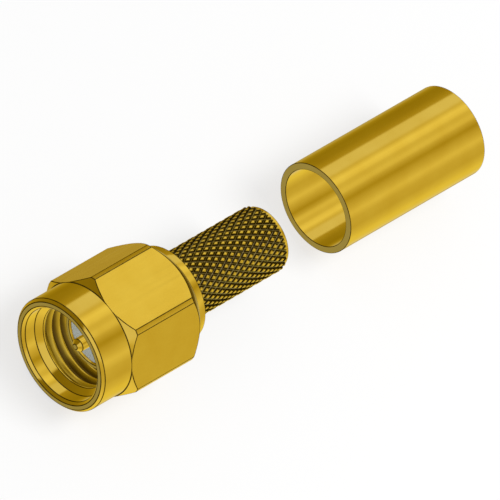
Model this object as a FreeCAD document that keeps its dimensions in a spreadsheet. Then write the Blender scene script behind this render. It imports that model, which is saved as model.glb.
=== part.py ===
"""SMA plug (male contact) for crimping to an RG-58 size coaxial cable, with its crimp ferrule.

Millimetres, +Z up. The X axis is the axis of the plug: the mouth faces -X and the cable leaves
towards +X. The origin is the centre of the outer contact's rim, which is the mating reference
plane. The coupling nut lies on one of its six flats, and the loose ferrule stands behind the
stem on the same axis.
"""
import FreeCAD, Part
import math
import os
import Sketcher

SIZES = [
    ("hex_flats", 8.0, "coupling nut, across the flats"),
    ("hex_corners", 9.04, "across the corners, where the bar is turned off"),
    ("nut_length", 9.12, "overall"),
    ("nut_front_cone", 8.04, "small end of the cone that chamfers the front corners"),
    ("nut_rear_face", 6.96, "small end of the cone that chamfers the rear corners"),
    ("collar_diameter", 7.92, "round collar at the mouth"),
    ("collar_length", 2.54, "mouth to the hexagon"),
    ("mouth_chamfer", 0.2, "inner and outer edge of the mouth"),
    ("edge_share", 0.45, "most of a wall that the chamfer or rounding of its edge takes"),
    ("counterbore_diameter", 6.5, "plain lead-in before the thread"),
    ("counterbore_depth", 1.01, "mouth to the thread's lead-in cone"),
    ("thread_minor", 5.72, "1/4-36 internal thread, minor diameter"),
    ("thread_depth", 4.56, "mouth to the end of the thread"),
    ("relief_diameter", 6.5, "undercut behind the thread"),
    ("relief_width", 0.9, "undercut behind the thread"),
    ("running_gap", 0.1, "between the nut and all that it turns on"),
    ("barrel_diameter", 4.58, "outer contact, outside"),
    ("barrel_bore", 4.11, "outer contact, inside"),
    ("seat_depth", 2.45, "rim to the shoulder that carries the gasket"),
    ("shoulder_diameter", 5.7, "bearing that the nut turns on"),
    ("groove_place", 4.4, "rim to the snap ring's groove"),
    ("groove_width", 0.6, "snap ring's groove in the shell"),
    ("groove_depth", 0.4, "snap ring's groove in the shell"),
    ("ring_thickness", 0.5, "snap ring, along the axis"),
    ("ring_section", 0.65, "snap ring, across the axis"),
    ("ring_split", 35.0, "degrees left open in the snap ring"),
    ("flange_place", 6.34, "rim to the flange behind the nut"),
    ("flange_diameter", 6.6, "flange behind the nut"),
    ("flange_thickness", 0.57, "flange behind the nut"),
    ("stem_length", 8.58, "flange to the end of the stem"),
    ("stem_end_diameter", 4.36, "plain band at the end of the stem"),
    ("stem_end_width", 0.27, "plain band at the end of the stem"),
    ("knurl_crest", 4.65, "diameter over the knurl"),
    ("knurl_depth", 0.125, "depth of its grooves"),
    ("knurl_starts", 30.0, "grooves of each hand round the stem"),
    ("knurl_helix", 30.0, "degrees between a groove and the axis"),
    ("knurl_top", 0.45, "share of a diamond that is flat on top"),
    ("cable_bore", 3.2, "through the stem, for the cable's dielectric"),
    ("bore_chamfer", 0.15, "mouth of the cable bore"),
    ("fit_gap", 0.02, "radial room of the pieces pressed into each other"),
    ("insulator_recess", 0.19, "rim to the insulator's front face"),
    ("insulator_length", 5.53, "front face to the step in the shell's bore"),
    ("pin_diameter", 0.92, "centre contact, where it mates"),
    ("pin_reach", 1.47, "tip in front of the rim"),
    ("tip_diameter", 0.4, "flat end of the tip's cone"),
    ("tip_length", 0.27, "cone of the tip"),
    ("pin_root", 0.15, "insulator's face to the contact's thicker body"),
    ("contact_diameter", 1.27, "centre contact, inside the insulator"),
    ("pot_diameter", 1.9, "rear barrel of the centre contact, outside"),
    ("pot_length", 2.9, "rear barrel of the centre contact"),
    ("pot_recess", 0.1, "rear barrel short of the insulator's rear face"),
    ("wire_diameter", 0.95, "hole for the cable's centre wire"),
    ("wire_depth", 2.4, "hole for the cable's centre wire"),
    ("peep_diameter", 0.5, "inspection hole in the rear barrel"),
    ("gasket_seat", 0.375, "share of the step from barrel to shoulder that centres the sealing ring"),
    ("gasket_thickness", 0.6, "sealing ring, along the axis"),
    ("gasket_stand", 0.1, "sealing ring in front of that step"),
    ("gasket_inset", 0.05, "sealing ring's outside below the shoulder's"),
    ("gasket_round", 0.12, "rounded edges of the sealing ring"),
    ("ferrule_diameter", 6.35, "crimp ferrule, outside"),
    ("ferrule_bore", 5.4, "crimp ferrule, inside"),
    ("ferrule_length", 12.19, "crimp ferrule"),
    ("ferrule_gap", 4.62, "end of the stem to the ferrule, as it is drawn apart"),
    ("ferrule_chamfer", 0.05, "broken edges of the ferrule"),
]

# Places along the axis that several pieces share, as expressions of the sizes.
NUT_REAR = "(Sizes.flange_place - Sizes.running_gap)"
NUT_FRONT = f"({NUT_REAR} - Sizes.nut_length)"
THREAD_END = f"({NUT_FRONT} + Sizes.thread_depth)"
RELIEF_END = f"({THREAD_END} + Sizes.relief_width)"
GASKET_FRONT = "(Sizes.seat_depth - Sizes.gasket_thickness)"
RING_REAR = "(Sizes.groove_place + Sizes.ring_thickness)"
GROOVE_REAR = "(Sizes.groove_place + Sizes.groove_width)"
FLANGE_REAR = "(Sizes.flange_place + Sizes.flange_thickness)"
STEM_END = f"({FLANGE_REAR} + Sizes.stem_length)"
KNURL_END = f"({STEM_END} - Sizes.stem_end_width)"
INSULATOR_REAR = "(Sizes.insulator_recess + Sizes.insulator_length)"
PIN_END = "(Sizes.insulator_recess + Sizes.pin_root)"
POT_REAR = f"({INSULATOR_REAR} - Sizes.pot_recess)"
POT_FRONT = f"({POT_REAR} - Sizes.pot_length)"
WIRE_END = f"({POT_REAR} - Sizes.wire_depth)"

# Radii that several pieces share.
BARREL_R = "Sizes.barrel_diameter / 2"
BARREL_BORE_R = "Sizes.barrel_bore / 2"
SHOULDER_R = "Sizes.shoulder_diameter / 2"
GASKET_SEAT_R = f"({BARREL_R} + Sizes.gasket_seat * ({SHOULDER_R} - {BARREL_R}))"
NUT_BORE_R = f"({SHOULDER_R} + Sizes.running_gap)"
GROOVE_R = f"({SHOULDER_R} - Sizes.groove_depth)"
RING_BORE_R = f"({GROOVE_R} + Sizes.running_gap)"
RING_R = f"({RING_BORE_R} + Sizes.ring_section)"
KNURL_CREST_R = "Sizes.knurl_crest / 2"
KNURL_ROOT_R = f"({KNURL_CREST_R} - Sizes.knurl_depth)"
STEM_CORE_R = f"({KNURL_ROOT_R} - Sizes.knurl_depth / 2)"
PIN_R = "Sizes.pin_diameter / 2"
CONTACT_R = "Sizes.contact_diameter / 2"
POT_R = "Sizes.pot_diameter / 2"

doc = FreeCAD.newDocument("sma_plug")
sheet = doc.addObject("Spreadsheet::Sheet", "Sizes")


def fill_sheet():
    """One row per size: its name, its value with the name as alias, and what it measures."""
    for row, (name, value, note) in enumerate(SIZES, start=1):
        sheet.set(f"A{row}", name)
        sheet.set(f"B{row}", str(value))
        sheet.set(f"C{row}", note)
        sheet.setAlias(f"B{row}", name)
    doc.recompute()


def value_of(expression):
    """The number that an expression of the sizes gives."""
    return float(sheet.evalExpression(expression))


def sketch_on(body, name, role):
    """An empty sketch on one of the body's own origin planes."""
    plane = next(item for item in body.Origin.OriginFeatures if item.Role == role)
    sketch = body.newObject("Sketcher::SketchObject", name)
    sketch.AttachmentSupport = [(plane, "")]
    sketch.MapMode = "FlatFace"
    return sketch


def bind(sketch, expression, kind, *target):
    """Adds a dimension to the sketch and ties it to the sizes."""
    index = sketch.addConstraint(Sketcher.Constraint(kind, *target, value_of(expression)))
    sketch.setExpression(f"Constraints[{index}]", expression)


def draw_profile(sketch, corners):
    """Closed outline of straight lines, each corner held by its two distances from the origin."""
    points = [FreeCAD.Vector(value_of(along), value_of(out), 0) for along, out in corners]
    count = len(points)
    for index, start in enumerate(points):
        sketch.addGeometry(Part.LineSegment(start, points[(index + 1) % count]))
    for index in range(count):
        sketch.addConstraint(Sketcher.Constraint("Coincident", index, 2, (index + 1) % count, 1))
    for index, (along, out) in enumerate(corners):
        bind(sketch, along, "DistanceX", index, 1)
        if out == "0":
            sketch.addConstraint(Sketcher.Constraint("PointOnObject", index, 1, -1))
        else:
            bind(sketch, out, "DistanceY", index, 1)


def draw_circle(sketch, along, radius):
    """Circle centred on the sketch's horizontal axis."""
    centre = FreeCAD.Vector(value_of(along), 0, 0)
    circle = sketch.addGeometry(Part.Circle(centre, FreeCAD.Vector(0, 0, 1), value_of(radius)))
    sketch.addConstraint(Sketcher.Constraint("PointOnObject", circle, 3, -1))
    bind(sketch, along, "DistanceX", circle, 3)
    bind(sketch, radius, "Radius", circle)


def turned(name, corners, angle="360"):
    """Body turned about the X axis from corners given as (place along the axis, radius)."""
    body = doc.addObject("PartDesign::Body", name)
    sketch = sketch_on(body, f"{name}_profile", "XZ_Plane")
    draw_profile(sketch, corners)
    turning = body.newObject("PartDesign::Revolution", f"{name}_turning")
    turning.Profile = sketch
    turning.ReferenceAxis = (sketch, ["H_Axis"])
    turning.setExpression("Angle", angle)
    doc.recompute()
    return body


def dress_edges(body, kind, size_name, size):
    """Chamfer or fillet on every circular edge of the body's last feature."""
    base = body.Tip
    edges = [f"Edge{number}" for number, edge in enumerate(base.Shape.Edges, start=1)
             if edge.Curve.TypeId == "Part::GeomCircle"]
    feature = body.newObject(f"PartDesign::{kind}", f"{body.Name}_edges")
    feature.Base = (base, edges)
    feature.setExpression(size_name, size)
    doc.recompute()


def make_coupling_nut():
    """Hexagonal nut with a round collar, a thread bore and a groove for the snap ring."""
    corner_r = "Sizes.hex_corners / 2"
    cone_r = "Sizes.nut_front_cone / 2"
    rear_r = "Sizes.nut_rear_face / 2"
    collar_r = "Sizes.collar_diameter / 2"
    entry_r = "Sizes.counterbore_diameter / 2"
    thread_r = "Sizes.thread_minor / 2"
    relief_r = "Sizes.relief_diameter / 2"
    groove_r = f"{RING_R} + Sizes.running_gap"
    groove_front = "Sizes.groove_place - Sizes.running_gap"
    groove_rear = f"{RING_REAR} + Sizes.running_gap"
    chamfer = f"min(Sizes.mouth_chamfer; Sizes.edge_share * ({collar_r} - {entry_r}))"
    chamfered = f"{NUT_FRONT} + {chamfer}"
    entry_end = f"{NUT_FRONT} + Sizes.counterbore_depth"
    hex_front = f"{NUT_FRONT} + Sizes.collar_length"
    blank = turned("nut_blank", [
        (NUT_FRONT, f"{entry_r} + {chamfer}"),
        (NUT_FRONT, f"{collar_r} - {chamfer}"),
        (chamfered, collar_r),
        (hex_front, collar_r),
        (hex_front, cone_r),
        (f"{hex_front} + {corner_r} - {cone_r}", corner_r),
        (f"{NUT_REAR} - {corner_r} + {rear_r}", corner_r),
        (NUT_REAR, rear_r),
        (NUT_REAR, NUT_BORE_R),
        (groove_rear, NUT_BORE_R),
        (groove_rear, groove_r),
        (groove_front, groove_r),
        (groove_front, NUT_BORE_R),
        (RELIEF_END, NUT_BORE_R),
        (RELIEF_END, relief_r),
        (THREAD_END, relief_r),
        (THREAD_END, thread_r),
        (f"{entry_end} + {entry_r} - {thread_r}", thread_r),
        (entry_end, entry_r),
        (chamfered, entry_r),
    ])
    bar = doc.addObject("Part::Prism", "hex_bar")
    bar.Polygon = 6
    bar.setExpression("Circumradius", "Sizes.hex_flats / 2 / cos(30 deg)")
    bar.setExpression("Height", "Sizes.nut_length")
    # The turn takes the bar's axis to X and puts two of its corners at the sides, so that one
    # flat is underneath.
    bar.Placement.Rotation = FreeCAD.Rotation(FreeCAD.Vector(1, 1, 1), 120)
    bar.setExpression("Placement.Base.x", NUT_FRONT)
    nut = doc.addObject("Part::Common", "coupling_nut")
    nut.Base = blank
    nut.Tool = bar
    return nut


def flat_face(points):
    """Flat face inside a closed ring of points."""
    return Part.Face(Part.makePolygon(points + points[:1]))


def flat_ring(points, centre, radius):
    """Flat face inside a closed ring of points and round a circular hole."""
    hole = Part.Wire(Part.makeCircle(radius, centre, FreeCAD.Vector(1, 0, 0)))
    return Part.makeFace([Part.makePolygon(points + points[:1]), hole], "Part::FaceMakerBullseye")


def knurl_shape(bore, root, crest, top, starts, start_x, step, rows):
    """Sleeve with a diamond-knurled outside.

    Each diamond is a low pyramid cut off flat at the crest. Its four lower corners are the
    places where the grooves cross, at the root radius, so all of its faces are flat. Every
    second row is turned by half a diamond, and the planes that end the sleeve halve its first
    and its last row.
    """
    half = math.pi / starts
    apex = (crest - top * root) / (1 - top)
    low_side = root * math.sin(half)
    high_side = low_side * (apex - crest) / (apex - root * math.cos(half))
    faces = []
    outlines = {0: [], rows: []}
    for row in range(rows + 1):
        centre = FreeCAD.Vector(start_x + row * step, 0, 0)
        for column in range(starts):
            turn = (2 * column + row % 2) * half
            up = FreeCAD.Vector(0, -math.sin(turn), math.cos(turn))
            aside = FreeCAD.Vector(0, -math.cos(turn), -math.sin(turn))
            low = [centre + up * (root * math.cos(half)) + aside * (way * low_side) for way in (-1, 1)]
            high = [centre + up * crest + aside * (way * high_side) for way in (-1, 1)]
            if row in outlines:
                outlines[row] += [low[0], high[0], high[1]]
            rim = []
            for way in (-1, 1):
                rim.append(high[way > 0])
                if not 0 <= row + way <= rows:
                    continue
                end = centre + up * crest + FreeCAD.Vector(way * step * top, 0, 0)
                foot = centre + up * root + FreeCAD.Vector(way * step, 0, 0)
                rim.append(end)
                faces += [flat_face([low[side], high[side], end, foot]) for side in (0, 1)]
            faces.append(flat_face(rim))
    start = FreeCAD.Vector(start_x, 0, 0)
    length = FreeCAD.Vector(rows * step, 0, 0)
    faces.append(flat_ring(outlines[0], start, bore))
    faces.append(flat_ring(outlines[rows], start + length, bore))
    faces.append(Part.makeCircle(bore, start, FreeCAD.Vector(1, 0, 0)).extrude(length))
    skin = Part.makeShell(faces)
    skin.sewShape()
    return Part.Solid(skin)


def make_knurl():
    """Knurled sleeve of the stem. Its bore is sunk in the stem's plain core."""
    crest = value_of(KNURL_CREST_R)
    start_x = value_of(FLANGE_REAR)
    length = value_of(f"{KNURL_END} - {FLANGE_REAR}")
    starts = round(value_of("Sizes.knurl_starts"))
    helix = math.radians(value_of("Sizes.knurl_helix"))
    half_diamond = math.pi * crest / starts / math.tan(helix)
    rows = max(2, round(length / half_diamond))
    knurl = doc.addObject("Part::Feature", "knurl_sleeve")
    knurl.Shape = knurl_shape(
        value_of(f"{STEM_CORE_R} - Sizes.knurl_depth / 2"),
        value_of(KNURL_ROOT_R),
        crest,
        value_of("Sizes.knurl_top"),
        starts,
        start_x,
        length / rows,
        rows,
    )
    return knurl


def make_shell():
    """Turned shell: outer contact, shoulder with the snap ring's groove, flange and stem."""
    seat_front = f"{GASKET_FRONT} + Sizes.gasket_stand"
    flange_r = "Sizes.flange_diameter / 2"
    band_r = "Sizes.stem_end_diameter / 2"
    cable_r = "Sizes.cable_bore / 2"
    core = turned("shell_core", [
        ("0", BARREL_BORE_R),
        ("0", BARREL_R),
        (seat_front, BARREL_R),
        (seat_front, GASKET_SEAT_R),
        ("Sizes.seat_depth", GASKET_SEAT_R),
        ("Sizes.seat_depth", SHOULDER_R),
        ("Sizes.groove_place", SHOULDER_R),
        ("Sizes.groove_place", GROOVE_R),
        (GROOVE_REAR, GROOVE_R),
        (GROOVE_REAR, SHOULDER_R),
        ("Sizes.flange_place", SHOULDER_R),
        ("Sizes.flange_place", flange_r),
        (FLANGE_REAR, flange_r),
        (FLANGE_REAR, STEM_CORE_R),
        (KNURL_END, STEM_CORE_R),
        (KNURL_END, band_r),
        (STEM_END, band_r),
        (STEM_END, f"{cable_r} + Sizes.bore_chamfer"),
        (f"{STEM_END} - Sizes.bore_chamfer", cable_r),
        (INSULATOR_REAR, cable_r),
        (INSULATOR_REAR, BARREL_BORE_R),
    ])
    shell = doc.addObject("Part::Fuse", "shell")
    shell.Base = core
    shell.Tool = make_knurl()
    shell.Refine = False
    return shell


def make_insulator():
    """Bush pressed into the shell against the step of its bore, stepped for the contact."""
    outer_r = f"{BARREL_BORE_R} - Sizes.fit_gap"
    return turned("insulator", [
        ("Sizes.insulator_recess", f"{PIN_R} + Sizes.fit_gap"),
        ("Sizes.insulator_recess", outer_r),
        (INSULATOR_REAR, outer_r),
        (INSULATOR_REAR, f"{POT_R} + Sizes.fit_gap"),
        (POT_FRONT, f"{POT_R} + Sizes.fit_gap"),
        (POT_FRONT, f"{CONTACT_R} + Sizes.fit_gap"),
        (PIN_END, f"{CONTACT_R} + Sizes.fit_gap"),
        (PIN_END, f"{PIN_R} + Sizes.fit_gap"),
    ])


def make_centre_contact():
    """Pin with a conical tip, and a rear barrel drilled for the cable's centre wire."""
    tip = "-Sizes.pin_reach"
    wire_r = "Sizes.wire_diameter / 2"
    body = turned("centre_contact", [
        (tip, "0"),
        (tip, "Sizes.tip_diameter / 2"),
        ("Sizes.tip_length - Sizes.pin_reach", PIN_R),
        (PIN_END, PIN_R),
        (PIN_END, CONTACT_R),
        (POT_FRONT, CONTACT_R),
        (POT_FRONT, POT_R),
        (POT_REAR, POT_R),
        (POT_REAR, wire_r),
        (WIRE_END, wire_r),
        (WIRE_END, "0"),
    ])
    sketch = sketch_on(body, "peep_hole_outline", "XY_Plane")
    draw_circle(sketch, f"({WIRE_END} + {POT_REAR}) / 2", "Sizes.peep_diameter / 2")
    hole = body.newObject("PartDesign::Pocket", "peep_hole")
    hole.Profile = sketch
    hole.Reversed = True
    hole.setExpression("Length", "Sizes.pot_diameter")
    doc.recompute()
    if hole.Shape.Volume >= hole.BaseFeature.Shape.Volume:
        raise RuntimeError("the inspection hole cuts nothing")
    return body


def make_snap_ring():
    """Split ring that sits on the front wall of the shell's groove and reaches into the nut's."""
    return turned("snap_ring", [
        ("Sizes.groove_place", RING_BORE_R),
        ("Sizes.groove_place", RING_R),
        (RING_REAR, RING_R),
        (RING_REAR, RING_BORE_R),
    ], "360 - Sizes.ring_split")


def make_gasket():
    """Sealing ring round the outer contact, seated on the shoulder."""
    bore_r = f"{GASKET_SEAT_R} + Sizes.fit_gap"
    outer_r = f"{SHOULDER_R} - Sizes.gasket_inset"
    body = turned("gasket", [
        (GASKET_FRONT, bore_r),
        (GASKET_FRONT, outer_r),
        ("Sizes.seat_depth", outer_r),
        ("Sizes.seat_depth", bore_r),
    ])
    rounding = f"min(Sizes.gasket_round; Sizes.edge_share * ({outer_r} - ({bore_r})))"
    dress_edges(body, "Fillet", "Radius", rounding)
    return body


def make_crimp_ferrule():
    """Plain tube, drawn away from the stem along the axis."""
    body = doc.addObject("PartDesign::Body", "crimp_ferrule")
    sketch = sketch_on(body, "ferrule_section", "YZ_Plane")
    draw_circle(sketch, "0", "Sizes.ferrule_diameter / 2")
    draw_circle(sketch, "0", "Sizes.ferrule_bore / 2")
    tube = body.newObject("PartDesign::Pad", "ferrule_tube")
    tube.Profile = sketch
    tube.setExpression("Length", "Sizes.ferrule_length")
    doc.recompute()
    dress_edges(body, "Chamfer", "Size", "Sizes.ferrule_chamfer")
    body.setExpression("Placement.Base.x", f"{STEM_END} + Sizes.ferrule_gap")
    return body


def check(nodes):
    """Stops if anything in the document failed or a piece isn't one sound solid."""
    for item in doc.Objects:
        if "Invalid" in item.State or "Error" in item.State:
            raise RuntimeError(f"{item.Label} failed: {item.State}")
    for node in nodes:
        shape = node.Shape
        if shape.isNull() or not shape.isValid() or len(shape.Solids) != 1:
            raise RuntimeError(f"{node.Label} isn't one sound solid")


def write(nodes):
    """One STEP file per piece, named after it."""
    os.makedirs("parts", exist_ok=True)
    for node in nodes:
        node.Shape.exportStep(f"parts/{node.Label}.step")
        print(f"{node.Label}: {node.Shape.Volume:.4f} cubic mm")


fill_sheet()
pieces = [
    make_coupling_nut(),
    make_shell(),
    make_insulator(),
    make_centre_contact(),
    make_snap_ring(),
    make_gasket(),
    make_crimp_ferrule(),
]
doc.recompute()
check(pieces)
write(pieces)
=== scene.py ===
import bmesh
import bpy
import math
from mathutils import Matrix, Vector


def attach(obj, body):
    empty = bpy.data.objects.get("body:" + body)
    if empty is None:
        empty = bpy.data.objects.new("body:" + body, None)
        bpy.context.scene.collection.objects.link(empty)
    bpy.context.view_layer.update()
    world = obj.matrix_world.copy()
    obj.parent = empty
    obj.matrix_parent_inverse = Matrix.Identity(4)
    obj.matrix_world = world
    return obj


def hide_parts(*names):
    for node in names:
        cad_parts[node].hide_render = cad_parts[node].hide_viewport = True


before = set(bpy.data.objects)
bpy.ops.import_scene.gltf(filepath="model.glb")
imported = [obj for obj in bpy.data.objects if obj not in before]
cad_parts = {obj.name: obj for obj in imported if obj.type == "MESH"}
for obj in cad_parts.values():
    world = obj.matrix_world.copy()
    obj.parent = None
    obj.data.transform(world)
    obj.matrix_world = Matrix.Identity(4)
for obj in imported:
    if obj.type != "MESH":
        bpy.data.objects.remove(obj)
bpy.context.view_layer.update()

# Sizes are in millimetres, as in the CAD source, and MM takes them to metres. X is the axis of the
# plug. A turn about it is counted from +Z towards -Y, which is a right-hand turn about +X.
MM = 0.001
FULL = 2 * math.pi

EDGE = 0.04             # rounding of turned edges
FINE_EDGE = 0.015       # rounding inside grooves and on thin walls
EDGE_STEPS = 3          # facets of one rounded edge
EDGE_LIMIT = 0.4        # share of a side that one rounding may take
SHARP = 40              # degrees between faces whose edge stays hard
WELD = 0.0004           # points nearer to each other than this become one
FLAT_SLACK = 0.001      # how far inside the flats a face may lie that belongs to one
FLAT_TILT = 0.01        # and how large the X of its normal may be

# Where a finish stands in the list of a gold piece. The first, 0, is the turned one.
# The finish at 1 paints dark shade lines along rounded edges.
SHADE_LINE, BAR, THREADED, KNURLED = 1, 2, 3, 2

NUT_FRONT = -2.88
NUT_REAR = 6.24
HEX_FRONT = -0.34
HALF_FLATS = 4.0
SECTOR = 60             # degrees of one flat
CORNER_R = 4.519        # just inside the bar's corners
NEAR_CORNER = 0.98      # share of that radius where the corners begin
FLAT_GUARD = 0.12       # a ring of points this far behind the flats' front evens their shading
CORNER_BLEND = 0.03     # softens the line between a flat and the turned corner
COLUMN_STEP = 2         # degrees between the nut's columns
CONE_TURN = 5.7         # degrees from a flat's middle, where it comes up to the front cone
RIDGE_TURNS = (27.1, 27.35, 27.75, 28.15, 28.4)    # and where it meets its turned corner
RIDGE = RIDGE_TURNS[1], RIDGE_TURNS[3]             # the part of those that takes the dark shade lines painted along edges
COLLAR_R = 3.96
FRONT_CONE_R = 4.02
REAR_FACE_R = 3.48
MOUTH_CHAMFER = 0.2
ENTRY_R = 3.25
ENTRY_END = -1.87
LEAD_END = -1.48        # end of the cone that leads into the thread
NUT_BORE_R = 2.95
RELIEF_END = 2.58
NUT_GROOVE = (4.3, 5.0, 3.3)    # start, end and radius
THREAD_END = 1.68
THREAD_MINOR_R = 2.86
THREAD_MAJOR_R = 3.175
THREAD_PITCH = 25.4 / 36
THREAD_FRONT = -1.4     # where the thread starts behind that cone
THREAD_START = 0.6      # length over which the thread comes up to its depth
THREAD_PHASE = -0.73    # share of a turn that the thread starts late
THREAD_RISE = (0, 0.02, 0.09, 0.2, 0.35, 0.5, 0.65, 0.8, 0.91, 0.98, 1)    # up one flank
THREAD_FORM = THREAD_RISE + THREAD_RISE[-2:0:-1]

BARREL_R = 2.29
BARREL_BORE_R = 2.055
SEAT_FRONT = 1.95       # front of the step that the gasket sits round
SEAT_R = 2.5
SEAT_DEPTH = 2.45
SHOULDER_R = 2.85
SHELL_GROOVE = (4.4, 5.0, 2.45)    # start, end and radius
FLANGE = (6.34, 6.91, 3.3)         # the same of the flange
KNURL_END = 15.22
KNURL_CREST_R = 2.325
KNURL_ROOT_R = 2.2
KNURL_HALF_ROWS = 20    # halves of diamonds along the stem
KNURL_STARTS = 30       # diamonds round it, and grooves of each hand
KNURL_PARTS = 4         # mesh steps across half a diamond
KNURL_FLANK = 0.62      # share of a diamond that slopes
BAND_R = 2.18
STEM_END = 15.49
CABLE_BORE_R = 1.6
BORE_CHAMFER = 0.15

INSULATOR = (0.19, 5.72, 2.035)    # front, rear and radius
PIN_HOLE_R = 0.48
BODY_HOLE_R = 0.655
POT_HOLE_R = 0.97
PIN_END = 0.34
POT_FRONT = 2.72
POT_REAR = 5.62
PIN_TIP = -1.47
PIN_CONE_END = -1.2
TIP_R = 0.2
PIN_R = 0.46
CONTACT_R = 0.635
POT_R = 0.95
WIRE_END = 3.22
WIRE_R = 0.475

# Start, end, inside and outside radius of a ring.
RING = (4.4, 4.9, 2.55, 3.2)
GASKET = (1.85, 2.45, 2.52, 2.8)
FERRULE = (20.11, 32.3, 2.7, 3.175)
RING_OPEN = 35          # degrees between the snap ring's ends
GASKET_ROUND = 0.12


def place(along, radius, turn):
    """Point in millimetres at a place along the axis, a radius and a turn."""
    return (along, -radius * math.sin(turn), radius * math.cos(turn))


def rounded(corners, closed=True):
    """Outline of (along, radius, edge) corners, and its steps' finishes.

    Each corner is rounded by its edge, and the steps round it take the finish of dark shade lines
    painted along edges.
    """
    points = []
    bends = []
    count = len(corners)
    for index, (along, radius, edge) in enumerate(corners):
        corner = Vector((along, radius))
        if not closed and index in (0, count - 1):
            points.append(corner)
            bends.append(0)
            continue
        before = Vector(corners[index - 1][:2]) - corner
        after = Vector(corners[(index + 1) % count][:2]) - corner
        reach = min(edge, before.length * EDGE_LIMIT, after.length * EDGE_LIMIT)
        start = corner + before.normalized() * reach
        end = corner + after.normalized() * reach
        for step in range(EDGE_STEPS + 1):
            share = step / EDGE_STEPS
            points.append(start * (1 - share) ** 2 + corner * 2 * share * (1 - share)
                          + end * share ** 2)
            bends.append(SHADE_LINE if step < EDGE_STEPS else 0)
    return points, bends


def ring_outline(sizes, edge=EDGE):
    """Outline of a plain ring of start, end, inside and outside radius."""
    start, end, bore, radius = sizes
    return rounded([(start, bore, edge), (start, radius, edge), (end, radius, edge),
                    (end, bore, edge)])


def sheet_faces(rows, columns):
    """Quads between consecutive columns of a grid stored column after column."""
    return [(column * rows + row, column * rows + row + 1,
             (column + 1) * rows + row + 1, (column + 1) * rows + row)
            for column in range(columns) for row in range(rows - 1)]


def make_piece(name, points, faces, marks=()):
    """Welded mesh object of points in millimetres. Its marks say which finish a face takes."""
    mesh = bpy.data.meshes.new(name)
    mesh.from_pydata([Vector(point) * MM for point in points], [], faces)
    for face, mark in zip(mesh.polygons, marks):
        face.material_index = mark
    work = bmesh.new()
    work.from_mesh(mesh)
    bmesh.ops.remove_doubles(work, verts=work.verts, dist=WELD * MM)
    bmesh.ops.dissolve_degenerate(work, edges=work.edges, dist=WELD * MM)
    bmesh.ops.recalc_face_normals(work, faces=work.faces)
    work.to_mesh(mesh)
    work.free()
    mesh.shade_smooth()
    mesh.set_sharp_from_angle(angle=math.radians(SHARP))
    piece = bpy.data.objects.new(name, mesh)
    bpy.context.scene.collection.objects.link(piece)
    weighted = piece.modifiers.new("even_shading", "WEIGHTED_NORMAL")
    weighted.keep_sharp = True
    return piece


def turned(name, outline, columns=160, span=FULL, shade_lines=True):
    """Piece turned about the axis from a closed outline, with end caps if it isn't a full turn.

    Unless told not to, its rounded edges take its second finish, the dark shade lines painted
    along edges.
    """
    outline, bends = outline
    points = []
    for column in range(columns + 1):
        turn = span * column / columns
        points += [place(point.x, point.y, turn) for point in outline]
        points.append(points[-len(outline)])
    rows = len(outline) + 1
    faces = sheet_faces(rows, columns)
    if span < FULL:
        faces.append(tuple(range(rows - 1)))
        faces.append(tuple(columns * rows + row for row in range(rows - 1)))
    return make_piece(name, points, faces, bends * columns if shade_lines else ())


def stand_for(piece, node, body, slot, *materials):
    """Puts a piece in a CAD node's place, with its finishes.

    Shiny metal mirrors only the room: no piece shows in it, nor does the floor or the lamp.
    """
    for material in materials:
        piece.data.materials.append(material)
    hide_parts(node)
    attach(piece, body)
    piece.visible_glossy = False


def hexagon_turns():
    """Turns of the nut's columns: evenly spaced, with some more where its flats change."""
    half = SECTOR // 2
    offsets = {*range(COLUMN_STEP - half, half + 1, COLUMN_STEP)}
    for offset in (CONE_TURN, *RIDGE_TURNS):
        offsets |= {-offset, offset}
    offsets = sorted(offsets)
    turns = [math.radians(SECTOR * flat + offset) for flat in range(6) for offset in offsets]
    return turns + [turns[0] + FULL]


def hexagon_radius(turn):
    """Outside radius of the bar at a turn: the flat, or the turned corner, softly joined."""
    sector = math.radians(SECTOR)
    offset = (turn + sector / 2) % sector - sector / 2
    flat = HALF_FLATS / math.cos(offset)
    gap = flat - CORNER_R
    blend = max(CORNER_BLEND - abs(gap), 0) ** 2 / (4 * CORNER_BLEND)
    return min(flat, CORNER_R) - blend


def nut_outline(turn):
    """The nut's section at a turn, apart from its thread, from the thread's start round it."""
    outer = hexagon_radius(turn)
    front = min(FRONT_CONE_R, outer)
    start, end, groove_r = NUT_GROOVE
    corners = [
        (THREAD_FRONT, THREAD_MINOR_R, 0),
        (LEAD_END, THREAD_MINOR_R, EDGE),
        (ENTRY_END, ENTRY_R, EDGE),
        (NUT_FRONT + MOUTH_CHAMFER, ENTRY_R, EDGE),
        (NUT_FRONT, ENTRY_R + MOUTH_CHAMFER, EDGE),
        (NUT_FRONT, COLLAR_R - MOUTH_CHAMFER, EDGE),
        (NUT_FRONT + MOUTH_CHAMFER, COLLAR_R, EDGE),
        (HEX_FRONT, COLLAR_R, EDGE),
        (HEX_FRONT, front, EDGE),
        (HEX_FRONT + outer - front, outer, EDGE),
        (HEX_FRONT + outer - front + FLAT_GUARD, outer, 0),
        (NUT_REAR - outer + REAR_FACE_R, outer, EDGE),
        (NUT_REAR, REAR_FACE_R, EDGE),
        (NUT_REAR, NUT_BORE_R, EDGE),
        (end, NUT_BORE_R, FINE_EDGE),
        (end, groove_r, FINE_EDGE),
        (start, groove_r, FINE_EDGE),
        (start, NUT_BORE_R, FINE_EDGE),
        (RELIEF_END, NUT_BORE_R, FINE_EDGE),
        (RELIEF_END, ENTRY_R, FINE_EDGE),
        (THREAD_END, ENTRY_R, 0),
    ]
    return rounded(corners, closed=False)


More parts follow.
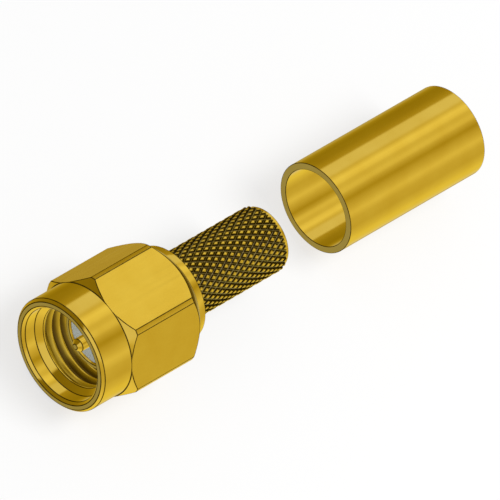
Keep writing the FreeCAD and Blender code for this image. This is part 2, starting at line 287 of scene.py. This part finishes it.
def thread_column(turn):
    """The thread's points at a turn, from the relief to its lead-in: a right-hand helix."""
    steps = len(THREAD_FORM)
    points = []
    turns = (THREAD_END - THREAD_FRONT) / THREAD_PITCH + 1 - THREAD_PHASE
    for row in reversed(range(math.ceil(turns * steps) + 2)):
        along = THREAD_FRONT + THREAD_PITCH * (row / steps - 1 + THREAD_PHASE + turn / FULL)
        depth = THREAD_FORM[row % steps] * min(max((along - THREAD_FRONT) / THREAD_START, 0), 1)
        radius = THREAD_MINOR_R + (THREAD_MAJOR_R - THREAD_MINOR_R) * depth
        if along >= THREAD_END:
            along, radius = THREAD_END, ENTRY_R
        points.append(place(max(along, THREAD_FRONT), radius, turn))
    return points


def finish_nut_faces(piece):
    """Gives the nut's flats the bar's finish, and dark shade lines painted along their ridges and
    on the hexagon's front face by the collar.
    """
    for face in piece.data.polygons:
        outward = math.hypot(face.center.y, face.center.z)
        offset = math.degrees(math.atan2(face.center.y, face.center.z)) % SECTOR
        on_ridge = RIDGE[0] < min(offset, SECTOR - offset) < RIDGE[1]
        off_front = abs(face.center.x - HEX_FRONT * MM)
        if on_ridge and outward > CORNER_R * NEAR_CORNER * MM:
            face.material_index = SHADE_LINE
        elif outward > (HALF_FLATS - FLAT_SLACK) * MM and abs(face.normal.x) < FLAT_TILT:
            face.material_index = BAR
        elif outward > COLLAR_R * MM and off_front < FINE_EDGE * MM:
            face.material_index = SHADE_LINE


def coupling_nut():
    """Nut with its hexagon, collar, grooves and thread."""
    points = []
    turns = hexagon_turns()
    for turn in turns:
        outline, bends = nut_outline(turn)
        points += [place(point.x, point.y, turn) for point in outline]
        points += thread_column(turn)
    rows = len(points) // len(turns)
    marks = bends + [THREADED] * (rows - 1 - len(bends))
    columns = len(turns) - 1
    piece = make_piece("coupling_nut_turned", points, sheet_faces(rows, columns), marks * columns)
    stand_for(piece, "coupling_nut", "nut", "gold_nut",
              gold_turned, gold_shade_line, gold_bar, gold_thread)
    finish_nut_faces(piece)


def knurl_height(row, column):
    """Height of the knurl at a mesh point, from 0 in a groove to 1 on top of a diamond."""
    nearest = 1
    for across in (row + column, row - column):
        share = (across / KNURL_PARTS + 1) % 2
        nearest = min(nearest, share, 2 - share)
    return min(1, nearest / KNURL_FLANK)


def knurl_faces(first, rows, columns, stride):
    """Triangles of the knurl, split along its grooves."""
    faces = []
    for column in range(columns):
        for row in range(rows):
            near = first + column * stride + row
            far = near + stride
            if (row // KNURL_PARTS + column // KNURL_PARTS) % 2:
                faces += [(near, near + 1, far + 1), (near, far + 1, far)]
            else:
                faces += [(near, near + 1, far), (near + 1, far + 1, far)]
    return faces


def shell():
    """Outer contact, shoulder, flange and knurled stem in one piece."""
    groove_start, groove_end, groove_r = SHELL_GROOVE
    flange_start, flange_end, flange_r = FLANGE
    corners = [
        (KNURL_END, KNURL_ROOT_R, 0),
        (KNURL_END, BAND_R, 0),
        (STEM_END, BAND_R, EDGE),
        (STEM_END, CABLE_BORE_R + BORE_CHAMFER, FINE_EDGE),
        (STEM_END - BORE_CHAMFER, CABLE_BORE_R, FINE_EDGE),
        (INSULATOR[1], CABLE_BORE_R, FINE_EDGE),
        (INSULATOR[1], BARREL_BORE_R, FINE_EDGE),
        (0, BARREL_BORE_R, EDGE),
        (0, BARREL_R, EDGE),
        (SEAT_FRONT, BARREL_R, FINE_EDGE),
        (SEAT_FRONT, SEAT_R, FINE_EDGE),
        (SEAT_DEPTH, SEAT_R, FINE_EDGE),
        (SEAT_DEPTH, SHOULDER_R, EDGE),
        (groove_start, SHOULDER_R, FINE_EDGE),
        (groove_start, groove_r, FINE_EDGE),
        (groove_end, groove_r, FINE_EDGE),
        (groove_end, SHOULDER_R, FINE_EDGE),
        (flange_start, SHOULDER_R, FINE_EDGE),
        (flange_start, flange_r, EDGE),
        (flange_end, flange_r, EDGE),
        (flange_end, KNURL_ROOT_R, 0),
    ]
    outline, bends = rounded(corners, closed=False)
    knurl_rows = KNURL_HALF_ROWS * KNURL_PARTS
    columns = 2 * KNURL_STARTS * KNURL_PARTS
    points = []
    for column in range(columns + 1):
        turn = FULL * column / columns
        points += [place(point.x, point.y, turn) for point in outline]
        for row in range(knurl_rows + 1):
            along = flange_end + (KNURL_END - flange_end) * row / knurl_rows
            rise = (KNURL_CREST_R - KNURL_ROOT_R) * knurl_height(row, column)
            points.append(place(along, KNURL_ROOT_R + rise, turn))
    stride = len(outline) + knurl_rows + 1
    faces = [face for face in sheet_faces(stride, columns) if face[0] % stride < len(outline)]
    faces += knurl_faces(len(outline), knurl_rows, columns, stride)
    ends = [(column * stride + stride - 1, column * stride, (column + 1) * stride,
             (column + 1) * stride + stride - 1) for column in range(columns)]
    marks = bends * columns + [KNURLED] * (2 * columns * knurl_rows)
    piece = make_piece("shell_turned", points, faces + ends, marks)
    stand_for(piece, "shell", "plug", "gold_shell", gold_turned, gold_shade_line, gold_knurled)


def insulator():
    """PTFE bush with its stepped hole."""
    front, rear, radius = INSULATOR
    piece = turned("insulator_turned", rounded([
        (front, PIN_HOLE_R, FINE_EDGE),
        (front, radius, EDGE),
        (rear, radius, EDGE),
        (rear, POT_HOLE_R, FINE_EDGE),
        (POT_FRONT, POT_HOLE_R, FINE_EDGE),
        (POT_FRONT, BODY_HOLE_R, FINE_EDGE),
        (PIN_END, BODY_HOLE_R, FINE_EDGE),
        (PIN_END, PIN_HOLE_R, FINE_EDGE),
    ]), shade_lines=False)
    stand_for(piece, "insulator", "plug", "ptfe", ptfe)


def centre_contact():
    """Pin with a conical tip, and its rear barrel bored for the cable's wire."""
    outline = rounded([
        (PIN_TIP, 0, 0),
        (PIN_TIP, TIP_R, EDGE),
        (PIN_CONE_END, PIN_R, EDGE),
        (PIN_END, PIN_R, FINE_EDGE),
        (PIN_END, CONTACT_R, FINE_EDGE),
        (POT_FRONT, CONTACT_R, FINE_EDGE),
        (POT_FRONT, POT_R, FINE_EDGE),
        (POT_REAR, POT_R, FINE_EDGE),
        (POT_REAR, WIRE_R, FINE_EDGE),
        (WIRE_END, WIRE_R, FINE_EDGE),
        (WIRE_END, 0, 0),
    ], closed=False)
    piece = turned("centre_contact_turned", outline, columns=96)
    stand_for(piece, "centre_contact", "plug", "gold_contact", gold_turned, gold_shade_line)


def snap_ring():
    """Split ring in the grooves of the shell and the nut."""
    piece = turned("snap_ring_split", ring_outline(RING), span=math.radians(360 - RING_OPEN),
                   shade_lines=False)
    stand_for(piece, "snap_ring", "plug", "spring_bronze", spring_bronze)


def gasket():
    """Sealing ring round the outer contact."""
    piece = turned("gasket_ring", ring_outline(GASKET, GASKET_ROUND), shade_lines=False)
    stand_for(piece, "gasket", "plug", "silicone", silicone)


def crimp_ferrule():
    """Drawn tube, cut off square, with broken edges."""
    piece = turned("crimp_ferrule_tube", ring_outline(FERRULE), columns=200)
    stand_for(piece, "crimp_ferrule", "ferrule", "gold_ferrule", gold_drawn, gold_shade_line)


LATHE_WAVES = 9         # turning marks per millimetre
PTFE_WAVES = 14         # the same on PTFE
CREVICE = 0.55          # open space nearer than this makes a crevice

GOLD_LIGHT = (0.83, 0.560, 0.062)
GOLD = (0.81, 0.538, 0.056)
GOLD_DEEP = (0.79, 0.518, 0.05)
# Colours of the dark shade lines painted along edges.
SHADE_LINE_PALE = (0.16, 0.105, 0.014)
SHADE_LINE_DARK = (0.06, 0.039, 0.007)
# Painted shade, for crevices and thread roots, and deeper for the knurl's flanks.
PAINTED_SHADE = (0.10, 0.058, 0.008)
PAINTED_SHADE_DEEP = (0.03, 0.018, 0.003)
# Painted highlight at the bottom of the knurl's grooves.
GROOVE_SHINE = (0.45, 0.35, 0.13)
# Painted shade on the thread: all darker than the gold, deepest in the roots.
THREAD_CREST_SHADE = (0.70, 0.47, 0.044)
THREAD_FLANK_SHADE = (0.44, 0.29, 0.025)
THREAD_ROOT_SHADE = (0.20, 0.125, 0.012)
PTFE_DEEP = (0.70, 0.85, 0.93)
PTFE_LIGHT = (0.76, 0.9, 0.96)
SILICONE_DEEP = (0.24, 0.022, 0.010)
SILICONE_DUSTY = (0.33, 0.045, 0.024)
BRONZE_STAINED = (0.24, 0.12, 0.035)
BRONZE = (0.36, 0.16, 0.045)
# The tints keep the metal from turning white at grazing angles.
GOLD_METAL = {"Metallic": 1, "Specular Tint": (0.9, 0.82, 0.46, 1)}
# This dark tint keeps the painted shade lines dark at grazing angles too.
SHADE_LINE_METAL = {"Metallic": 1, "Specular Tint": (0.18, 0.15, 0.06, 1)}


class Nodes:
    """Short way to write a node tree of a material or the world."""

    def __init__(self, tree):
        self.tree = tree

    def put(self, kind, *values, output=0, **settings):
        """Adds a node with its inputs linked or set in order, and gives one of its outputs."""
        node = self.tree.nodes.new("ShaderNode" + kind)
        for name, value in settings.items():
            setattr(node, name, value)
        for value, socket in zip(values, node.inputs):
            if value is not None:
                self.join(value, socket)
        return node.outputs[output]

    def join(self, value, socket):
        """Links a socket, or sets a plain value."""
        if isinstance(value, bpy.types.NodeSocket):
            self.tree.links.new(value, socket)
        else:
            socket.default_value = value

    def math(self, operation, *values):
        """Output of a maths node."""
        return self.put("Math", *values, operation=operation)

    def parts(self, vector):
        """X, Y and Z of a vector."""
        return self.put("SeparateXYZ", vector).node.outputs

    def spread(self, value, low, high):
        """Value from 0 to 1 taken to a range."""
        return self.math("MULTIPLY_ADD", value, high - low, low)

    def ramp(self, value, *stops):
        """Colour of a ramp whose stops are given as (place, colour)."""
        colour = self.put("ValToRGB", value)
        elements = colour.node.color_ramp.elements
        elements.remove(elements[0])
        elements[0].position, elements[0].color = stops[0][0], (*stops[0][1], 1)
        for position, shade in stops[1:]:
            elements.new(position).color = (*shade, 1)
        return colour

    def grey_ramp(self, value, stops):
        """Ramp between greys that are given as (place, level)."""
        return self.ramp(value, *[(position, (level,) * 3) for position, level in stops])

    def toward(self, share, first, second):
        """First colour taken to a second, plain one by a share."""
        return self.put("MixRGB", share, first, (*second, 1))


class Finish(Nodes):
    """Node tree of a material. Its place is in millimetres along the CAD axes."""

    def __init__(self, name):
        self.material = bpy.data.materials.new(name)
        self.material.use_nodes = True
        super().__init__(self.material.node_tree)
        scaled = self.put("VectorMath", self.put("TexCoord", output="Object"), operation="SCALE")
        scaled.node.inputs["Scale"].default_value = 1 / MM
        self.place = scaled

    def noise(self, stretch, detail=2):
        """Noise over the place, stretch being its waves per millimetre each way."""
        stretched = self.put("VectorMath", self.place, stretch, operation="MULTIPLY")
        return self.put("TexNoise", stretched, None, 1, detail)

    def radius(self):
        """Distance from the plug's axis in millimetres."""
        parts = self.parts(self.place)
        return self.math("SQRT", self.math("ADD", self.math("POWER", parts["Y"], 2),
                                           self.math("POWER", parts["Z"], 2)))

    def lathe_marks(self, waves=LATHE_WAVES):
        """Fine rings that turning leaves, along the axis and on end faces."""
        along = self.math("MULTIPLY", self.parts(self.place)["X"], waves)
        outward = self.math("MULTIPLY", self.radius(), waves)
        return self.put("TexNoise", self.put("CombineXYZ", along, outward, 0), None, 1, 3)

    def crevice_shaded(self, colour):
        """Colour darkened by painted shade in crevices, where open space is nearer than their
        depth.
        """
        open_share = self.put("AmbientOcclusion", None, CREVICE * MM, output="AO", samples=8)
        crevice_shade = self.ramp(open_share, (0.3, PAINTED_SHADE), (0.75, (1, 1, 1)))
        return self.put("MixRGB", 1, colour, crevice_shade, blend_type="MULTIPLY")

    def done(self, colour, roughness, height, depth, **constants):
        """Wires colour, roughness and bump to the shader. The bump's depth is in millimetres."""
        shader = self.tree.nodes["Principled BSDF"].inputs
        self.join(colour, shader["Base Color"])
        self.join(roughness, shader["Roughness"])
        bump = self.put("Bump", 1, depth * MM)
        self.join(height, bump.node.inputs["Height"])
        self.join(bump, shader["Normal"])
        for name, value in constants.items():
            shader[name].default_value = value
        return self.material


def gold_colour(finish):
    """Gold plating that is a little deeper in cloudy patches."""
    cloud = finish.noise((0.6, 0.6, 0.6), detail=3)
    return finish.ramp(cloud, (0.3, GOLD_DEEP), (0.5, GOLD), (0.7, GOLD_LIGHT))


def make_gold_turned():
    """Gold plating over turned brass: fine rings along the axis and on end faces, and painted
    shade in crevices.
    """
    finish = Finish("gold_turned")
    marks = finish.lathe_marks()
    smear = finish.noise((1.5, 1.5, 1.5))
    roughness = finish.spread(finish.math("MULTIPLY", marks, smear), 0.08, 0.2)
    return finish.done(finish.crevice_shaded(gold_colour(finish)), roughness, marks, 0.0008, **GOLD_METAL)


def make_gold_bar():
    """Gold plating over drawn bar: faint lines along the axis."""
    finish = Finish("gold_bar")
    lines = finish.noise((0.1, 5, 5))
    roughness = finish.spread(lines, 0.18, 0.3)
    return finish.done(gold_colour(finish), roughness, lines, 0.0001, **GOLD_METAL)


def make_gold_drawn():
    """Gold plating over drawn tube: fainter lines along the axis."""
    finish = Finish("gold_drawn")
    lines = finish.noise((0.04, 6, 6), detail=3)
    roughness = finish.spread(lines, 0.08, 0.16)
    return finish.done(gold_colour(finish), roughness, lines, 0.0003, **GOLD_METAL)


def make_gold_shade_line():
    """Gold plating with dark shade lines painted along an edge, patchy in tone."""
    finish = Finish("gold_shade_line")
    line_mottle = finish.noise((2.5, 2.5, 2.5), detail=3)
    colour = finish.ramp(line_mottle, (0.35, SHADE_LINE_DARK), (0.65, SHADE_LINE_PALE))
    return finish.done(colour, finish.spread(line_mottle, 0.2, 0.35), line_mottle, 0.001, **SHADE_LINE_METAL)


def make_gold_thread():
    """Gold plating on the thread, darkened by painted shade all over, deepest in its roots."""
    finish = Finish("gold_thread")
    depth = finish.math("SUBTRACT", finish.radius(), THREAD_MINOR_R)
    share = finish.math("DIVIDE", depth, THREAD_MAJOR_R - THREAD_MINOR_R)
    stain = finish.noise((2, 2, 2), detail=3)
    level = finish.math("ADD", share, finish.spread(stain, -0.1, 0.1))
    colour = finish.ramp(level, (0.0, THREAD_CREST_SHADE), (0.3, THREAD_FLANK_SHADE), (0.6, THREAD_ROOT_SHADE),
                         (0.95, PAINTED_SHADE))
    return finish.done(colour, finish.spread(stain, 0.25, 0.4), stain, 0.001, **GOLD_METAL)


def make_gold_knurled():
    """Gold plating on the knurl, with painted shade on the flanks of its grooves and a painted
    highlight at their bottoms.
    """
    finish = Finish("gold_knurled")
    rise = finish.math("SUBTRACT", finish.radius(), KNURL_ROOT_R)
    height = finish.math("DIVIDE", rise, KNURL_CREST_R - KNURL_ROOT_R)
    stain = finish.noise((3, 3, 3), detail=3)
    level = finish.math("ADD", height, finish.spread(stain, -0.08, 0.08))
    colour = finish.ramp(level, (0.0, GROOVE_SHINE), (0.16, PAINTED_SHADE_DEEP), (0.68, PAINTED_SHADE_DEEP),
                         (0.97, GOLD_LIGHT))
    roughness = finish.spread(stain, 0.18, 0.34)
    return finish.done(colour, roughness, finish.lathe_marks(), 0.0004, **GOLD_METAL)


def make_ptfe():
    """PTFE: waxy white with faint turning marks and specks."""
    finish = Finish("ptfe")
    specks = finish.noise((5, 5, 5), detail=4)
    colour = finish.ramp(specks, (0.3, PTFE_DEEP), (0.7, PTFE_LIGHT))
    roughness = finish.spread(specks, 0.45, 0.65)
    return finish.done(colour, roughness, finish.lathe_marks(PTFE_WAVES), 0.002)


def make_silicone():
    """Silicone rubber: matt, dusty, a little uneven."""
    finish = Finish("silicone")
    dust = finish.noise((8, 8, 8), detail=4)
    colour = finish.ramp(dust, (0.35, SILICONE_DEEP), (0.7, SILICONE_DUSTY))
    return finish.done(colour, finish.spread(dust, 0.6, 0.85), dust, 0.004)


def make_spring_bronze():
    """Bare spring bronze with rolling lines and darker stains."""
    finish = Finish("spring_bronze")
    stain = finish.noise((2, 2, 2), detail=4)
    lines = finish.noise((14, 1, 1))
    colour = finish.ramp(stain, (0.3, BRONZE_STAINED), (0.7, BRONZE))
    return finish.done(colour, finish.spread(stain, 0.25, 0.45), lines, 0.001, Metallic=1)


# Strips of light round the X axis that shiny metal shows: a turn in degrees and its level.
STRIPS = (
    (-180, 0.62), (-165, 0.55), (-155, 0.5), (-139, 0.64), (-122, 0.44), (-108, 0.36), (-84, 0.38),
    (-63, 0.49), (-60, 0.84), (-45, 0.84), (-30, 0.72), (-18, 1.0), (-9, 0.93), (-3, 0.79),
    (3, 0.79), (9, 0.86), (15, 0.84), (21, 0.68), (33, 0.48), (45, 0.64), (53, 0.72), (68, 0.88),
    (84, 0.72), (105, 0.68), (125, 0.82), (140, 0.95), (168, 0.97), (180, 0.62),
)
# The same strips as cones and chamfers at the mouth show them, which mirror the way it faces.
MOUTH_STRIPS = (
    (-180, 0.62), (-165, 0.55), (-155, 0.5), (-139, 0.6), (-122, 0.4), (-108, 0.3), (-16, 0.27),
    (-5, 0.84), (62, 0.84), (74, 0.68), (90, 0.62), (105, 0.66), (125, 0.82), (140, 0.95),
    (168, 0.97), (180, 0.62),
)
TO_MOUTH = (-0.05, -0.45)    # X of a direction where the first strips end and the second begin
# Colour of the light at each level: warmer where it is dim, as among brass fittings.
WARMTH = ((0.27, (0.255, 0.212, 0.03)), (0.35, (0.34, 0.285, 0.05)), (0.5, (0.50, 0.43, 0.12)),
          (0.7, (0.68, 0.63, 0.42)), (1.0, (1, 1, 1)))
# One strip is cool white: how much of it there is at a turn in degrees, and its colour.
PALE_STRIP = ((-63, 0), (-60, 1), (-37, 1), (-28, 0))
PALE_MOUTH = ((-15, 0), (-6, 1), (60, 1), (72, 0))
PALE_LIGHT = (0.82, 0.84, 1.16)
# How much of the dark ring towards the cable there is at the X of a direction, and its light.
CABLE_RING = ((0.73, 0), (0.8, 1), (0.92, 1), (0.98, 0))
CABLE_LIGHT = (0.14, 0.11, 0.03)
# Where the end faces at the mouth mirror the room, the cosines round there, and the light.
END_WAY = (-0.577, 0.211, -0.789)
END_SPOT = ((0.8, 0), (0.92, 1))
END_LIGHT = (0.385, 0.415, 0.80)
PLAIN_LIGHT = (0.5, 0.5, 0.5)
WHITE = (1, 1, 1)

# The floor's and the lamp's sizes and places are in metres, apart from the gap.
FLOOR_HALF = 4.0
FLOOR_GAP = 0.01        # keeps the floor clear of the flat that rests on it
FLOOR_WHITE = 0.7       # share of the floor that is white by itself
PAPER = (0.88, 0.88, 0.88, 1)
LAMP_SIZE = 0.12
LAMP_PLACE = (0.07, -0.09, 0.22)
LAMP_AIM = (0.012, 0, 0)
LAMP_WATTS = 0.45

# The picture's axes, and its middle counted along them from a point in the mouth.
VIEW_RIGHT = Vector((0.70711, -0.61237, 0.35355))
VIEW_UP = Vector((0.40825, 0.7618, 0.5030))
VIEW_MIDDLE = Vector((-2.69, 0, 0)) + VIEW_RIGHT * 11.93 + VIEW_UP * 6.634
MID_DEPTH = -8.5        # where the plug's middle lies on the way to the camera
FRAME_WIDTH = 500 / 15.7
LENS = 1500
CLIP = (0.1, 10)        # in metres


def seen_directly(nodes):
    """1 for what the camera, shiny metal and clear plastic see, 0 for what lights the rest."""
    paths = nodes.put("LightPath").node.outputs
    seen = nodes.math("MAXIMUM", paths["Is Camera Ray"], paths["Is Glossy Ray"])
    return nodes.math("MAXIMUM", seen, paths["Is Transmission Ray"])


def mirrored_room(nodes):
    """Light that shiny metal mirrors in each direction: the strips, and over them the ends."""
    direction = nodes.put("TexCoord", output="Generated")
    way = nodes.parts(direction)
    turn = nodes.math("ARCTAN2", nodes.math("MULTIPLY", way["Y"], -1), way["Z"])
    share = nodes.math("MULTIPLY_ADD", turn, 1 / FULL, 0.5)
    to_mouth = nodes.put("MapRange", way["X"], *TO_MOUTH, 0, 1)

    def round_axis(stops, mouth_stops):
        """Levels at stops in degrees round the axis, mixed with those towards the mouth."""
        ramps = [nodes.grey_ramp(share, [(degrees / 360 + 0.5, level) for degrees, level in row])
                 for row in (stops, mouth_stops)]
        return nodes.put("MixRGB", to_mouth, *ramps)

    light = nodes.ramp(round_axis(STRIPS, MOUTH_STRIPS), *WARMTH)
    light = nodes.toward(round_axis(PALE_STRIP, PALE_MOUTH), light, PALE_LIGHT)
    light = nodes.toward(nodes.grey_ramp(way["X"], CABLE_RING), light, CABLE_LIGHT)
    facing = nodes.put("VectorMath", direction, END_WAY, output="Value", operation="DOT_PRODUCT")
    return nodes.toward(nodes.grey_ramp(facing, END_SPOT), light, END_LIGHT)


def studio_world():
    """White for the camera, the mirrored room for shiny metal, and a plain level for the rest."""
    world = bpy.data.worlds.new("studio")
    bpy.context.scene.world = world
    world.use_nodes = True
    nodes = Nodes(world.node_tree)
    paths = nodes.put("LightPath").node.outputs
    seen = nodes.math("MAXIMUM", paths["Is Camera Ray"], paths["Is Transmission Ray"])
    plain = nodes.toward(seen, (*PLAIN_LIGHT, 1), WHITE)
    light = nodes.put("MixRGB", paths["Is Glossy Ray"], plain, mirrored_room(nodes))
    nodes.join(light, world.node_tree.nodes["Background"].inputs["Color"])
    # Light samples aren't glossy rays, so they would bring the plain level to shiny metal too.
    world.cycles.sampling_method = "NONE"


def studio_floor():
    """Wide pale floor under the nut's lower flat. Part of it is white by itself."""
    mesh = bpy.data.meshes.new("floor")
    corners = [(-1, -1), (1, -1), (1, 1), (-1, 1)]
    level = -(HALF_FLATS + FLOOR_GAP) * MM
    points = [(x * FLOOR_HALF, y * FLOOR_HALF, level) for x, y in corners]
    mesh.from_pydata(points, [], [(0, 1, 2, 3)])
    floor = bpy.data.objects.new("floor", mesh)
    bpy.context.scene.collection.objects.link(floor)
    floor.visible_glossy = False
    material = bpy.data.materials.new("floor_paper")
    material.use_nodes = True
    nodes = Nodes(material.node_tree)
    paper = nodes.put("BsdfDiffuse", PAPER)
    glow = nodes.put("Emission", (*WHITE, 1), 1)
    share = nodes.math("MULTIPLY", seen_directly(nodes), FLOOR_WHITE)
    mixed = nodes.put("MixShader", share, paper, glow)
    nodes.join(mixed, material.node_tree.nodes["Material Output"].inputs["Surface"])
    mesh.materials.append(material)


def key_lamp():
    """Large soft lamp above, a little to the front and to the cable's side."""
    data = bpy.data.lights.new("key", "AREA")
    data.size = LAMP_SIZE
    data.energy = LAMP_WATTS
    lamp = bpy.data.objects.new("key", data)
    bpy.context.scene.collection.objects.link(lamp)
    lamp.location = LAMP_PLACE
    lamp.rotation_mode = "QUATERNION"
    lamp.rotation_quaternion = (Vector(LAMP_AIM) - lamp.location).to_track_quat("-Z", "Y")
    lamp.visible_glossy = False


def camera():
    """The photo's isometric view, through a very long lens."""
    back = VIEW_RIGHT.cross(VIEW_UP).normalized()
    data = bpy.data.cameras.new("camera")
    data.lens = LENS
    data.clip_start, data.clip_end = CLIP
    view = bpy.data.objects.new("camera", data)
    bpy.context.scene.collection.objects.link(view)
    distance = FRAME_WIDTH * LENS / data.sensor_width
    eye = VIEW_MIDDLE + back * (distance - back.dot(VIEW_MIDDLE) + MID_DEPTH)
    rows = zip(VIEW_RIGHT, VIEW_UP, back, (part * MM for part in eye))
    view.matrix_world = Matrix((*rows, (0, 0, 0, 1)))
    bpy.context.scene.camera = view


gold_turned = make_gold_turned()
gold_bar = make_gold_bar()
gold_drawn = make_gold_drawn()
gold_knurled = make_gold_knurled()
gold_shade_line = make_gold_shade_line()
gold_thread = make_gold_thread()
ptfe = make_ptfe()
silicone = make_silicone()
spring_bronze = make_spring_bronze()

coupling_nut()
shell()
insulator()
centre_contact()
snap_ring()
gasket()
crimp_ferrule()

studio_world()
studio_floor()
key_lamp()
camera()
bpy.context.scene.view_settings.view_transform = "Standard"
